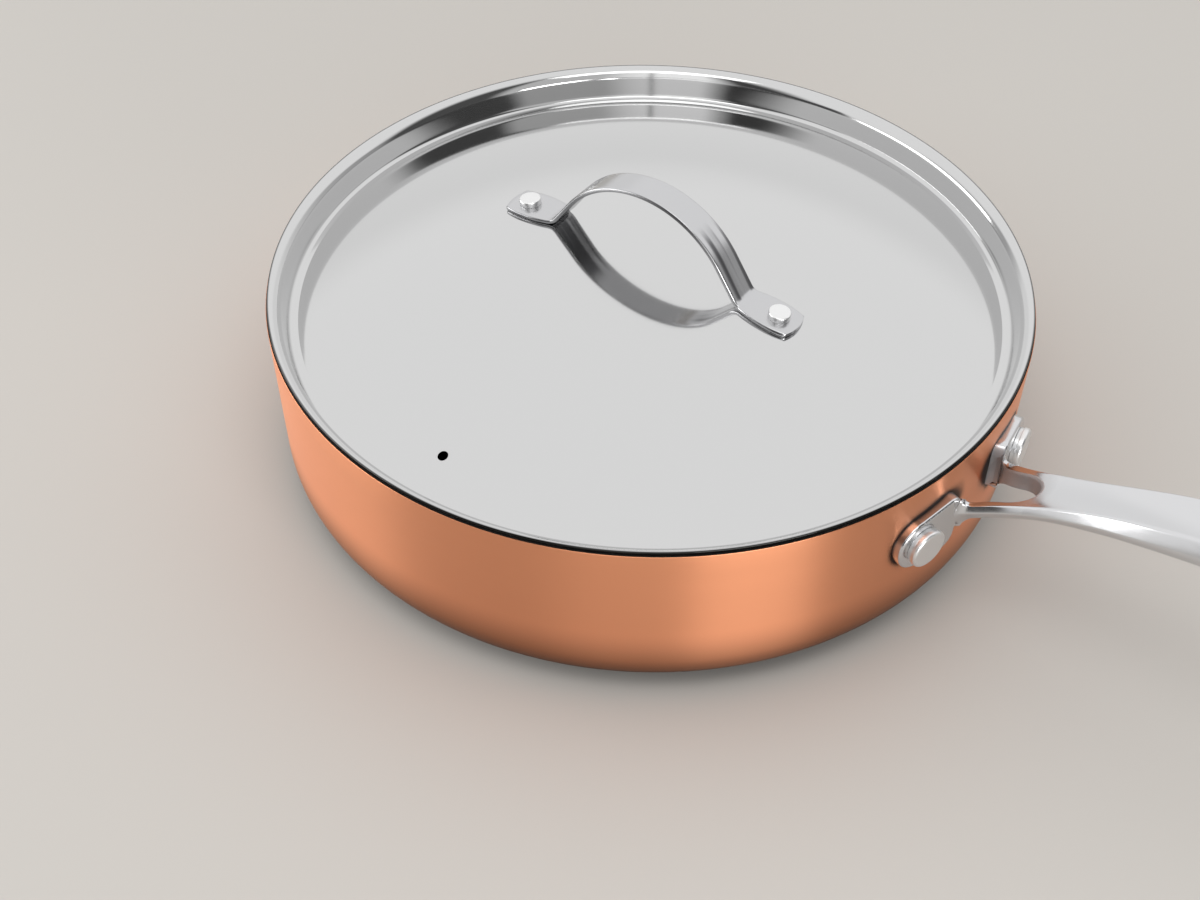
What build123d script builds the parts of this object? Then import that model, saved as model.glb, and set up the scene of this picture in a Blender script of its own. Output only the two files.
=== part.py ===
from build123d import *
import math
import os

# Saute pan with a lid. Millimetres, +Z up. The origin is the middle of the pan's underside,
# and the long handle runs along +X.

# Pan: a three-ply bowl with a straight, slightly flared wall
pan_height = 71.0
pan_rim_radius = 140.7
wall_taper_deg = 2.3
corner_radius = 19.0
copper_thickness = 0.5
core_thickness = 1.7
lining_thickness = 0.4
rim_round = 0.25

# Lid: one pressed sheet with a coned flange, a stepped wall and a domed middle
lid_sheet = 0.7
lid_edge_inset = 0.7
lid_seat_height = 1.75
flange_slope_deg = 19.5
flange_width = 3.0
flange_bend_radius = 3.0
upper_wall_drop = 10.15
upper_wall_run = 2.7
step_drop = 1.7
step_run = 1.6
step_bend_radius = 1.5
lower_wall_run = 2.5
valley_bend_radius = 1.5
dome_radius = 500.0
dome_apex_rise = 9.45
dome_shoulder_past_rivet = 4.7
valley_drop = 22.4
vent_radius = 1.85
vent_distance = 111.6
vent_angle_deg = -93.8
lid_turn_deg = 2.2

# Lid handle: a bent steel strap with two riveted feet
strap_thickness = 1.8
strap_top_rise = 39.2
strap_arch_radius = 39.3
strap_leg_lean_deg = 34.4
strap_bend_radius = 5.0
strap_width = 12.0
foot_width = 15.2
foot_tip_width = 13.6
foot_reach = 6.5
foot_tip_bulge = 1.6
foot_flare_reach = 14.0
lid_rivet_distance = 55.3
lid_rivet_shank_radius = 2.4
lid_rivet_head_radius = 4.1
lid_rivet_head_height = 2.3
lid_rivet_head_round = 0.5
lid_rivet_tail_radius = 4.0
lid_rivet_tail_height = 1.4

# Long handle: one casting with a forked root and a riveted pad on each arm
rivet_height = 47.2
rivet_spread = 60.25
pad_thickness = 3.4
pad_half_height = 10.5
pad_inner_reach = 18.2
pad_inner_top_rise = 2.9
pad_inner_slant = 2.4
pad_top_round = 4.5
pad_low_round = 6.0
pad_edge_round = 1.0
handle_root_height = 52.8
handle_rise_deg = 24.2
handle_straight = 46.3
handle_bend_radius = 262.0
handle_bend_deg = 34.0
handle_width = 27.4
handle_thickness = 13.2
handle_hollow = 0.7
handle_roll = 1.3
handle_tuck = 3.4
fork_length = 24.3
fork_mouth_width = 26.6
fork_root_width = 13.0
eye_radius = 4.5
eye_setback = 12.5

# Pan rivets: large stepped heads outside, low formed heads inside
rivet_shank_radius = 3.5
rivet_collar_radius = 7.0
rivet_collar_height = 1.5
rivet_head_radius = 7.4
rivet_head_height = 2.3
rivet_head_round = 1.1
rivet_tail_radius = 6.5
rivet_tail_height = 2.0
rivet_tail_round = 0.9

# Fits, and how far a cutting tool runs past what it cuts
rivet_fit = 0.02
seat_gap = 0.03
overrun = 8.0

# Long handle: for each section its place along the top line, its width and its thickness
section_shares = (
    0.0, 0.029, 0.056, 0.083, 0.12, 0.165, 0.24, 0.33, 0.42, 0.51, 0.6, 0.69, 0.78, 0.86, 0.93, 1.0
)
width_shares = (
    1.13, 1.004, 0.912, 0.832, 0.763, 0.708, 0.693, 0.765, 0.829, 0.88, 0.919, 0.953, 0.98, 0.994, 1.0, 1.0
)
thickness_shares = (
    0.65, 0.62, 0.606, 0.606, 0.606, 0.615, 0.727, 0.833, 0.931, 0.968, 0.987, 0.996, 1.0, 0.985, 0.93, 0.84
)
roll_height_share = 0.36
tuck_height_share = 0.84

wall_taper = math.radians(wall_taper_deg)
ply_total = copper_thickness + core_thickness + lining_thickness
lid_plane = pan_height + lid_seat_height
lid_radius = pan_rim_radius - lid_edge_inset


def wall_radius(height, inset):
    """Radius of the wall's face that lies inset inside the copper's outer face, at a height."""
    return pan_rim_radius - (pan_height - height) * math.tan(wall_taper) - inset / math.cos(wall_taper)


def bowl_section(inset):
    """Half section of everything inside the bowl's face at an inset, drawn as radius and height."""
    outline = Polyline(
        (0, inset),
        (wall_radius(inset, inset), inset),
        (wall_radius(pan_height, inset), pan_height),
        (0, pan_height),
        close=True,
    )
    section = make_face(outline)
    corner = section.vertices().group_by(Axis.Y)[0].sort_by(Axis.X)[-1]
    return fillet(corner, corner_radius - inset)


def ply(outer_inset, inner_inset):
    """Half section of one ply of the bowl."""
    return bowl_section(outer_inset) - bowl_section(inner_inset)


def rim_corner(section, side):
    """The rim vertex of a ply's half section on its outer (-1) or inner (0) side."""
    return section.vertices().group_by(Axis.Y)[-1].sort_by(Axis.X)[side]


def turned(section):
    """The solid that a half section makes when it is turned about the pan's axis."""
    return revolve(Plane.XZ * section, Axis.Z)


# Rivet seats: a plane on the copper's outer face at each rivet, its normal pointing outwards
def rivet_seat(side):
    """Plane on the wall at the rivet on side +1 or -1, with local x away from the long handle."""
    radius = wall_radius(rivet_height, 0)
    angle = math.asin(side * rivet_spread / 2 / radius)
    spot = Vector(radius * math.cos(angle), radius * math.sin(angle), rivet_height)
    outward = Vector(
        math.cos(wall_taper) * math.cos(angle),
        math.cos(wall_taper) * math.sin(angle),
        -math.sin(wall_taper),
    )
    tangent = Vector(-math.sin(angle), math.cos(angle), 0) * side
    return Plane(origin=spot, x_dir=tangent, z_dir=outward)


seats = {"left": rivet_seat(1), "right": rivet_seat(-1)}


def shank_tool(seat, radius, outer, inner):
    """Cylinder through the wall at a rivet seat, from inner behind the face to outer in front of it."""
    tool = Cylinder(radius, outer + inner, align=(Align.CENTER, Align.CENTER, Align.MIN))
    return seat.offset(-inner).location * tool


# The three plies
copper_section = ply(0, copper_thickness)
copper_section = fillet(rim_corner(copper_section, -1), rim_round)
core_section = ply(copper_thickness, copper_thickness + core_thickness)
lining_section = ply(copper_thickness + core_thickness, ply_total)
lining_section = fillet(rim_corner(lining_section, 0), rim_round)
copper_skin = turned(copper_section)
aluminium_core = turned(core_section)
steel_lining = turned(lining_section)
for seat in seats.values():
    hole = shank_tool(seat, rivet_shank_radius + rivet_fit, overrun, overrun)
    copper_skin -= hole
    aluminium_core -= hole
    steel_lining -= hole

# The lid's sheet, as the line of its upper face from the edge of the flange to the middle of the dome
flange_slope = math.radians(flange_slope_deg)
flange_edge = Vector(lid_radius, lid_plane)
flange_root = flange_edge - Vector(flange_width, flange_width * math.tan(flange_slope))
step_top = flange_root - Vector(upper_wall_run, upper_wall_drop)
step_foot = step_top - Vector(step_run, step_drop)
dome_centre = Vector(0, lid_plane + dome_apex_rise - dome_radius)


def dome_height(radius):
    """Height of the upper face of the dome's middle at a distance from the axis."""
    return dome_centre.Y + math.sqrt(dome_radius ** 2 - radius ** 2)


valley = Vector(step_foot.X - lower_wall_run, lid_plane - valley_drop)
dome_apex = Vector(0, dome_height(0))
dome_shoulder_radius = lid_rivet_distance + dome_shoulder_past_rivet
shoulder = Vector(dome_shoulder_radius, dome_height(dome_shoulder_radius))
shoulder_heading = Vector(shoulder.Y - dome_centre.Y, -shoulder.X)
shoulder_arc = TangentArc(shoulder, valley, tangent=shoulder_heading)
corners = (flange_root, step_top, step_foot, valley)
bends = (flange_bend_radius, step_bend_radius, step_bend_radius, valley_bend_radius)
wall_edges = Polyline(flange_edge, *corners).edges()
dome_arc = RadiusArc(shoulder, dome_apex, -dome_radius)
lid_line = Wire([*wall_edges, shoulder_arc.edge(), dome_arc.edge()])
for corner, radius in zip(corners, bends):
    lid_line = lid_line.fillet_2d(radius, [lid_line.vertices().sort_by_distance(corner)[0]])
lid_plate = turned(make_face(lid_line.offset_2d(lid_sheet, side=Side.LEFT)))
vent = Cylinder(vent_radius, 2 * valley_drop)
lid_plate -= Rot(Z=vent_angle_deg + lid_turn_deg) * Pos(vent_distance, 0, lid_plane - valley_drop) * vent


# Lid rivet seats: a plane on the dome's upper face under each foot of the strap
foot_slope = math.asin(lid_rivet_distance / dome_radius)


def lid_seat(side):
    """Plane on the dome's upper face at the rivet on side +1 or -1 of the strap."""
    spot = Vector(side * lid_rivet_distance, 0, dome_height(lid_rivet_distance))
    normal = Vector(side * math.sin(foot_slope), 0, math.cos(foot_slope))
    return Plane(origin=spot, x_dir=Vector(0, side, 0), z_dir=normal)


lid_seats = {"left": lid_seat(-1), "right": lid_seat(1)}
turn = Rot(Z=lid_turn_deg)
for seat in lid_seats.values():
    lid_plate -= turn * shank_tool(seat, lid_rivet_shank_radius + rivet_fit, overrun, overrun)

# The strap's middle line: two feet that lie on the dome, two leaning legs and the arch between them
foot_lift = strap_thickness / 2 + seat_gap
foot_middle = Vector(
    lid_rivet_distance + foot_lift * math.sin(foot_slope),
    dome_height(lid_rivet_distance) + foot_lift * math.cos(foot_slope),
)
leg_lean = math.radians(strap_leg_lean_deg)
arch_centre_height = lid_plane + strap_top_rise - strap_thickness / 2 - strap_arch_radius
leg_peak = arch_centre_height + strap_arch_radius / math.sin(leg_lean)
foot_fall = math.tan(foot_slope)
leg_fall = 1 / math.tan(leg_lean)
ankle_reach = (leg_peak - foot_middle.Y - foot_fall * foot_middle.X) / (leg_fall - foot_fall)
ankle = Vector(ankle_reach, leg_peak - leg_fall * ankle_reach)
toe_reach = foot_middle.X + foot_reach + foot_tip_bulge + overrun
toe = Vector(toe_reach, foot_middle.Y - foot_fall * (toe_reach - foot_middle.X))


def other_side(point):
    """The same point on the far half of the strap."""
    return Vector(-point.X, point.Y)


strap_line = FilletPolyline(
    other_side(toe),
    other_side(ankle),
    Vector(0, leg_peak),
    ankle,
    toe,
    radius=[strap_bend_radius, strap_arch_radius, strap_bend_radius],
)
strap_side = make_face(Wire(strap_line.edges()).offset_2d(strap_thickness / 2, side=Side.BOTH))


def foot_plan(side):
    """Outline of one foot from above, from its waist to its bowed free end."""
    waist = Vector(side * (lid_rivet_distance - foot_flare_reach), strap_width / 2)
    widest = Vector(side * lid_rivet_distance, foot_width / 2)
    tip = Vector(side * (lid_rivet_distance + foot_reach), foot_tip_width / 2)
    tip_middle = tip + Vector(side * foot_tip_bulge, -foot_tip_width / 2)
    edges = [
        ThreePointArc(waist, widest, tip),
        ThreePointArc(tip, tip_middle, Vector(tip.X, -tip.Y)),
        ThreePointArc(Vector(tip.X, -tip.Y), Vector(widest.X, -widest.Y), Vector(waist.X, -waist.Y)),
        Line(Vector(waist.X, -waist.Y), waist),
    ]
    return make_face(edges)


strap_plan = Rectangle(2 * (lid_rivet_distance - foot_flare_reach), strap_width)
strap_plan += foot_plan(-1)
strap_plan += foot_plan(1)
strap_depth = extrude(Plane.XZ * strap_side, foot_width, both=True)
lid_handle = strap_depth & extrude(strap_plan, lid_plane + strap_top_rise + overrun)
for seat in lid_seats.values():
    lid_handle -= shank_tool(seat, lid_rivet_shank_radius + rivet_fit, overrun, overrun)
lid_handle = turn * lid_handle


def lid_rivet(seat):
    """Rivet with a flat outer head, a shank through strap and sheet, and a formed head inside."""
    dome_underside = dome_radius - lid_sheet
    sag = dome_underside - math.sqrt(dome_underside ** 2 - lid_rivet_tail_radius ** 2)
    head_seat = strap_thickness + 2 * seat_gap
    tail_seat = -lid_sheet - seat_gap - sag
    head_top = head_seat + lid_rivet_head_height
    tail_end = tail_seat - lid_rivet_tail_height
    half = make_face(
        Polyline(
            (0, tail_end),
            (lid_rivet_tail_radius, tail_end),
            (lid_rivet_tail_radius, tail_seat),
            (lid_rivet_shank_radius, tail_seat),
            (lid_rivet_shank_radius, head_seat),
            (lid_rivet_head_radius, head_seat),
            (lid_rivet_head_radius, head_top),
            (0, head_top),
            close=True,
        )
    )
    top_corner = half.vertices().group_by(Axis.Y)[-1].sort_by(Axis.X)[-1]
    half = fillet(top_corner, lid_rivet_head_round)
    tail_corner = half.vertices().group_by(Axis.Y)[0].sort_by(Axis.X)[-1]
    half = fillet(tail_corner, lid_rivet_head_round)
    return turn * seat.location * turned(half)


# The long handle's top line in side view: a straight rise, then a long bend that levels it out
rise = math.radians(handle_rise_deg)
bend = math.radians(handle_bend_deg)
path_length = handle_straight + handle_bend_radius * bend
path_start = Vector(wall_radius(rivet_height, 0), 0, handle_root_height)


def handle_station(length):
    """Plane across the long handle at a length along its top line, local y upwards."""
    straight = min(length, handle_straight)
    turned_by = max(length - handle_straight, 0) / handle_bend_radius
    across = math.sin(rise) - math.sin(rise - turned_by)
    upward = math.cos(rise - turned_by) - math.cos(rise)
    run = Vector(straight * math.cos(rise), 0, straight * math.sin(rise))
    curve = Vector(handle_bend_radius * across, 0, handle_bend_radius * upward)
    heading = Vector(math.cos(rise - turned_by), 0, math.sin(rise - turned_by))
    return Plane(origin=path_start + run + curve, x_dir=Vector(0, 1, 0), z_dir=heading)


def handle_section(width, thickness):
    """Section of the casting: a slightly hollow top, rolled sides and a rounded underside."""
    ridge = width / 2
    side_middle = (ridge + handle_roll, -roll_height_share * thickness)
    side_foot = (ridge - handle_tuck, -tuck_height_share * thickness)
    edges = [
        ThreePointArc((-ridge, 0), (0, -handle_hollow), (ridge, 0)),
        ThreePointArc((ridge, 0), side_middle, side_foot),
        ThreePointArc(side_foot, (0, -thickness), (-side_foot[0], side_foot[1])),
        ThreePointArc((-side_foot[0], side_foot[1]), (-side_middle[0], side_middle[1]), (-ridge, 0)),
    ]
    return make_face(edges)


sections = []
for share, width_share, thickness_share in zip(section_shares, width_shares, thickness_shares):
    section = handle_section(width_share * handle_width, thickness_share * handle_thickness)
    sections.append(handle_station(share * path_length).location * section)
root_section = handle_section(width_shares[0] * handle_width, thickness_shares[0] * handle_thickness)
sections.insert(0, handle_station(-overrun).location * root_section)
blank = loft(sections)

# Plan of the casting: a round end, and the fork's slot, open towards the pan
tip_radius = handle_width / 2 + handle_roll
tip_x = handle_station(path_length).origin.X
tall = lid_plane + strap_top_rise
body_plan = Pos(tip_x / 2 - tip_radius / 2, 0) * Rectangle(tip_x - tip_radius, pan_rim_radius)
body_plan += Pos(tip_x - tip_radius, 0) * Circle(tip_radius)
slot_mouth = path_start.X
slot_round_centre = slot_mouth + fork_length - fork_root_width / 2
slot_plan = make_face(
    Polyline(
        (slot_mouth - 2 * overrun, -fork_mouth_width / 2),
        (slot_mouth, -fork_mouth_width / 2),
        (slot_round_centre, -fork_root_width / 2),
        (slot_round_centre, fork_root_width / 2),
        (slot_mouth, fork_mouth_width / 2),
        (slot_mouth - 2 * overrun, fork_mouth_width / 2),
        close=True,
    )
)
slot_plan += Pos(slot_round_centre, 0) * Circle(fork_root_width / 2)
casting = (blank & extrude(body_plan, 2 * tall)) - extrude(slot_plan, 2 * tall)

# A pad for each arm, flat outside and shaped to the wall inside
pad_top = (0, pad_half_height)
pad_bottom = (0, -pad_half_height)
pad_sides = Polyline(
    pad_bottom,
    (pad_inner_slant - pad_inner_reach, -pad_half_height),
    (-pad_inner_reach, pad_half_height + pad_inner_top_rise),
    pad_top,
)
pad_plan = make_face([*pad_sides.edges(), ThreePointArc(pad_top, (pad_half_height, 0), pad_bottom)])
low_corner, high_corner = pad_plan.vertices().sort_by(Axis.X)[:2].sort_by(Axis.Y)
pad_plan = fillet(low_corner, pad_low_round)
high_corner = pad_plan.vertices().sort_by_distance(high_corner.center())[0]
pad_plan = fillet(high_corner, pad_top_round)
pad = extrude(pad_plan, overrun + pad_thickness)
pad = fillet(pad.faces().sort_by(Axis.Z)[-1].edges(), pad_edge_round)
pad = seats["left"].offset(-overrun).location * pad
long_handle = casting + pad + mirror(pad, Plane.XZ)
long_handle -= turned(bowl_section(-seat_gap))
eye_station = handle_station(path_length - eye_setback)
eye_tool = Rot(X=-90) * Cylinder(eye_radius, 2 * (overrun + handle_thickness))
long_handle -= eye_station.location * eye_tool
for seat in seats.values():
    long_handle -= shank_tool(seat, rivet_shank_radius + rivet_fit, overrun, overrun)


def pan_rivet(seat):
    """Rivet with a stepped outer head, a shank through pad and wall, and a formed head inside."""
    lining_face = wall_radius(rivet_height, ply_total)
    sag = lining_face - math.sqrt(lining_face ** 2 - rivet_tail_radius ** 2)
    head_seat = pad_thickness + seat_gap
    collar_top = head_seat + rivet_collar_height
    head_top = collar_top + rivet_head_height
    tail_seat = -ply_total - seat_gap - sag
    tail_end = tail_seat - rivet_tail_height
    half = make_face(
        Polyline(
            (0, tail_end),
            (rivet_tail_radius, tail_end),
            (rivet_tail_radius, tail_seat),
            (rivet_shank_radius, tail_seat),
            (rivet_shank_radius, head_seat),
            (rivet_collar_radius, head_seat),
            (rivet_collar_radius, collar_top),
            (rivet_head_radius, collar_top),
            (rivet_head_radius, head_top),
            (0, head_top),
            close=True,
        )
    )
    head_corner = half.vertices().sort_by_distance((rivet_head_radius, head_top))[0]
    half = fillet(head_corner, rivet_head_round)
    tail_corner = half.vertices().sort_by_distance((rivet_tail_radius, tail_end))[0]
    half = fillet(tail_corner, rivet_tail_round)
    return seat.location * turned(half)


export = {
    "copper_skin": copper_skin,
    "aluminium_core": aluminium_core,
    "steel_lining": steel_lining,
    "long_handle": long_handle,
    "pan_rivet_left": pan_rivet(seats["left"]),
    "pan_rivet_right": pan_rivet(seats["right"]),
    "lid_plate": lid_plate,
    "lid_handle": lid_handle,
    "lid_rivet_left": lid_rivet(lid_seats["left"]),
    "lid_rivet_right": lid_rivet(lid_seats["right"]),
}
os.makedirs("parts", exist_ok=True)
for name, shape in export.items():
    export_step(shape, f"parts/{name}.step")
    print(name, shape.volume)
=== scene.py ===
import math

import bmesh
import bpy
import numpy as np
from mathutils import Matrix, Vector


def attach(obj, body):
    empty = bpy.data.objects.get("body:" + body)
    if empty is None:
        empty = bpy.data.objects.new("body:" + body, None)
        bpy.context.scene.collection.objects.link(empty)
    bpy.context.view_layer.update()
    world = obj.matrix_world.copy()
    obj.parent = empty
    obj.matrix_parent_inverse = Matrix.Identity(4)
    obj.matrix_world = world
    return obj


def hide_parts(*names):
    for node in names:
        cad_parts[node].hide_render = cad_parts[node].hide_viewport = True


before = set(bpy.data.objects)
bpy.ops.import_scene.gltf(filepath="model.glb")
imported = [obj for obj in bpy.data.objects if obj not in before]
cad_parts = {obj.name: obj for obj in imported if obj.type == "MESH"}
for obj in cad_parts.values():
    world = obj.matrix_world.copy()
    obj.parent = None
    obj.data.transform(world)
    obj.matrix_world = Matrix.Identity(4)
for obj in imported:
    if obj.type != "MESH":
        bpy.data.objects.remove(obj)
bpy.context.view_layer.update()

# Camera: a 60 mm lens on a 36 mm wide frame. It looks down at the pan from the front right,
# with the long handle running out of the picture on the right.
MM = 0.001
camera_heading = math.radians(38.2)
camera_pitch = math.radians(43.77)
camera_roll = math.radians(0.49)
sight = Vector((
    -math.sin(camera_heading) * math.cos(camera_pitch),
    math.cos(camera_heading) * math.cos(camera_pitch),
    -math.sin(camera_pitch),
))
level_right = Vector((math.cos(camera_heading), math.sin(camera_heading), 0.0))
level_up = level_right.cross(sight)
right = math.cos(camera_roll) * level_right + math.sin(camera_roll) * level_up
up = right.cross(sight)
camera_data = bpy.data.cameras.new("camera")
camera_data.lens = 60.0
camera_data.sensor_width = 36.0
camera_data.clip_start = 0.01
camera_data.clip_end = 50.0
camera = bpy.data.objects.new("camera", camera_data)
bpy.context.scene.collection.objects.link(camera)
camera.matrix_world = Matrix((
    (right.x, up.x, -sight.x, 342.1 * MM),
    (right.y, up.y, -sight.y, -463.8 * MM),
    (right.z, up.z, -sight.z, 535.3 * MM),
    (0.0, 0.0, 0.0, 1.0),
))
bpy.context.scene.camera = camera
bpy.context.scene.view_settings.view_transform = "Standard"


# Floor: one wide pale board that the pan stands on, matt and without a pattern.
# The mesh builder below welds any list of point grids into one mesh.
cells_per_mm = 5000.0


def weld_grids(name, grids, material, sharp=40.0):
    """Object from point grids in millimetres. Grid (i, j) gives the quad i, i+1 by j, j+1.

    Points that round to the same cell of 0.0002 mm become one, so seams and poles close, and a
    quad that loses a side becomes a triangle or goes.
    """
    points, quads, base = [], [], 0
    for grid in grids:
        rows, columns = grid.shape[:2]
        index = base + np.arange(rows * columns).reshape(rows, columns)
        corner = (index[:-1, :-1], index[1:, :-1], index[1:, 1:], index[:-1, 1:])
        quads.append(np.stack(corner, axis=-1).reshape(-1, 4))
        points.append(grid.reshape(-1, 3))
        base += rows * columns
    points = np.concatenate(points)
    keys = np.round(points * cells_per_mm).astype(np.int64)
    first, where = np.unique(keys, axis=0, return_index=True, return_inverse=True)[1:]
    faces = where.reshape(-1)[np.concatenate(quads)]
    lasting = faces != np.roll(faces, -1, axis=1)
    sides = lasting.sum(axis=1)
    whole = sides > 2
    loops = faces[whole][lasting[whole]]
    starts = np.concatenate(([0], np.cumsum(sides[whole])[:-1]))
    mesh = bpy.data.meshes.new(name)
    mesh.vertices.add(len(first))
    mesh.vertices.foreach_set("co", (points[first] * MM).astype(np.float32).ravel())
    mesh.loops.add(len(loops))
    mesh.loops.foreach_set("vertex_index", loops.astype(np.int32))
    mesh.polygons.add(len(starts))
    mesh.polygons.foreach_set("loop_start", starts.astype(np.int32))
    mesh.update(calc_edges=True)
    mesh.validate()
    shell = bmesh.new()
    shell.from_mesh(mesh)
    bmesh.ops.recalc_face_normals(shell, faces=shell.faces)
    shell.to_mesh(mesh)
    shell.free()
    mesh.polygons.foreach_set("use_smooth", np.ones(len(mesh.polygons), bool))
    mesh.set_sharp_from_angle(angle=math.radians(sharp))
    mesh.materials.append(material)
    piece = bpy.data.objects.new(name, mesh)
    bpy.context.scene.collection.objects.link(piece)
    return piece


def new_material(name, colour, roughness, metallic=1.0):
    """Material with one Principled shader whose constant values sit on its own sockets."""
    material = bpy.data.materials.new(name)
    material.use_nodes = True
    shader = material.node_tree.nodes["Principled BSDF"]
    shader.inputs["Base Color"].default_value = (*colour, 1.0)
    shader.inputs["Roughness"].default_value = roughness
    shader.inputs["Metallic"].default_value = metallic
    return material, shader


floor_paint, floor_shader = new_material("floor_paint", (0.55, 0.527, 0.495), 0.75, metallic=0.0)
floor_shader.inputs["Specular IOR Level"].default_value = 0.2
floor_side = np.linspace(-6000.0, 6000.0, 3)
floor_x, floor_y = np.meshgrid(floor_side, floor_side, indexing="ij")
floor = weld_grids("floor", [np.stack((floor_x, floor_y, 0.0 * floor_x), axis=-1)], floor_paint)
if floor.data.polygons[0].normal.z < 0.0:
    floor.data.flip_normals()


# Light: a studio tent. An even sky lies over the far side, which the lid mirrors, and a low ring of
# panels and dark gaps runs all round and rises behind the camera. Two low soft boxes give the copper
# its bright bands, and a high one draws fine bright lines along the lid's bends.
def soft_box(name, centre, aim, width, height, radiance):
    """Rectangular lamp whose radiance is its power over its area and pi."""
    lamp = bpy.data.lights.new(name, "AREA")
    lamp.shape = "RECTANGLE"
    lamp.size = width
    lamp.size_y = height
    lamp.energy = radiance * width * height * math.pi
    lamp_object = bpy.data.objects.new(name, lamp)
    bpy.context.scene.collection.objects.link(lamp_object)
    heading = Vector(aim) - Vector(centre)
    lamp_object.rotation_euler = heading.to_track_quat("-Z", "Y").to_euler()
    lamp_object.location = centre


soft_box("low_box_left", (-1.13, -0.75, 0.22), (0.0, 0.0, 0.04), 1.40, 0.42, 4.0)
soft_box("low_box_right", (1.09, -0.54, 0.20), (0.0, 0.0, 0.04), 0.64, 0.38, 6.8)
soft_box("high_box", (0.35, -0.45, 1.42), (0.0, 0.0, 0.05), 1.0, 0.42, 2.0)


def feed(tree, node, inputs):
    """Sets each named input of a node to a constant, or links it to another node's output."""
    for name, value in inputs.items():
        if isinstance(value, bpy.types.NodeSocket):
            tree.links.new(value, node.inputs[name])
        else:
            node.inputs[name].default_value = value
    return node


def math_node(tree, operation, *values):
    """Output of a Math node over constants or other nodes' outputs."""
    node = tree.nodes.new("ShaderNodeMath")
    node.operation = operation
    return feed(tree, node, dict(enumerate(values))).outputs[0]


def vector_node(tree, operation, *values):
    """Output of a Vector Math node: a number for a length or a dot product, or else a vector."""
    node = tree.nodes.new("ShaderNodeVectorMath")
    node.operation = operation
    feed(tree, node, dict(enumerate(values)))
    return node.outputs["Value" if operation in ("LENGTH", "DOT_PRODUCT") else "Vector"]


def split_node(tree, vector):
    """Outputs X, Y and Z of a vector."""
    return feed(tree, tree.nodes.new("ShaderNodeSeparateXYZ"), {0: vector}).outputs


def ranged(tree, value, low, high, to_low=0.0, to_high=1.0, smooth=True):
    """A value's way from low to high, turned into a smooth or a straight way between two results."""
    node = tree.nodes.new("ShaderNodeMapRange")
    node.interpolation_type = "SMOOTHSTEP" if smooth else "LINEAR"
    names = ("Value", "From Min", "From Max", "To Min", "To Max")
    values = (value, low, high, to_low, to_high)
    return feed(tree, node, dict(zip(names, values))).outputs["Result"]


def mixed(tree, share, first, second):
    """Colour between two colours, which are constants or other nodes' outputs."""
    node = tree.nodes.new("ShaderNodeMix")
    node.data_type = "RGBA"
    return feed(tree, node, {"Factor": share, "A": first, "B": second}).outputs["Result"]


def toned(tree, share, stops):
    """Grey tone from a ramp of (place, tone) stops over a share from 0 to 1."""
    ramp = tree.nodes.new("ShaderNodeValToRGB")
    elements = ramp.color_ramp.elements
    while len(elements) < len(stops):
        elements.new(0.5)
    for element, (place, tone) in zip(elements, stops):
        element.position = place
        element.color = (tone, tone, tone, 1.0)
    return feed(tree, ramp, {"Fac": share}).outputs["Color"]


def paint_surround(far_sky, ring_tones):
    """World of a tent: an even sky on the far side of the object and overhead.

    Low down, and at every height on the near side, the direction's angle about the vertical picks
    a tone of the ring instead. Two smooth steps, over height and over the part of the direction
    that points to the far side, are multiplied to blend ring and sky. The far side is where the
    camera looks, turned a further third of a radian about the vertical.
    """
    world = bpy.data.worlds.new("surround")
    world.use_nodes = True
    bpy.context.scene.world = world
    tree = world.node_tree
    direction = tree.nodes.new("ShaderNodeTexCoord").outputs["Generated"]
    parts = split_node(tree, direction)
    far_heading = camera_heading + 0.35
    far_way = (-math.sin(far_heading), math.cos(far_heading), 0.0)
    far_side = ranged(tree, vector_node(tree, "DOT_PRODUCT", direction, far_way), -0.5, -0.2)
    angle = math_node(tree, "ARCTAN2", parts["Y"], parts["X"])
    angle_share = ranged(tree, angle, -math.pi, math.pi, smooth=False)
    ring_stops = [((degrees + 180.0) / 360.0, tone) for degrees, tone in ring_tones]
    ring = toned(tree, angle_share, ring_stops)
    sky_share = math_node(tree, "MULTIPLY", ranged(tree, parts["Z"], 0.30, 0.46), far_side)
    colour = mixed(tree, sky_share, ring, (far_sky, far_sky, far_sky, 1.0))
    feed(tree, tree.nodes["Background"], {"Color": colour})


paint_surround(1.12, (
    (-180.0, 0.5), (-145.0, 0.7), (-140.0, 1.0), (-115.0, 1.0), (-111.0, 0.1), (-79.0, 0.07),
    (-69.0, 1.3), (-53.1, 1.3), (-52.7, 0.4), (-51.2, 0.4), (-50.8, 1.3), (-44.0, 1.1), (-36.0, 0.7),
    (-8.0, 0.7), (-2.0, 0.1), (30.0, 0.1), (36.0, 0.4), (60.0, 0.6), (90.0, 1.0), (165.0, 1.0),
    (180.0, 0.5),
))


# Bowl: three bonded plies, copper outside, aluminium in the middle and stainless steel inside.
# It is drawn from one flat disc, so floor, corner and wall are one sheet, cut square at the rim.
pan_height = 71.0
pan_rim_radius = 140.7
wall_taper = math.radians(2.3)
corner_radius = 19.0
copper_thickness = 0.5
core_thickness = 1.7
lining_thickness = 0.4
core_inset = copper_thickness + core_thickness
lining_inset = core_inset + lining_thickness


def swung(points, angle):
    """Points turned about the origin in the plane of their first two numbers, the rest kept:
    x cos a - y sin a and x sin a + y cos a."""
    x, y = points[..., 0], points[..., 1]
    cosine, sine = np.cos(angle), np.sin(angle)
    kept = np.moveaxis(points[..., 2:], -1, 0)
    return np.stack((x * cosine - y * sine, x * sine + y * cosine, *kept), axis=-1)


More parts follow.
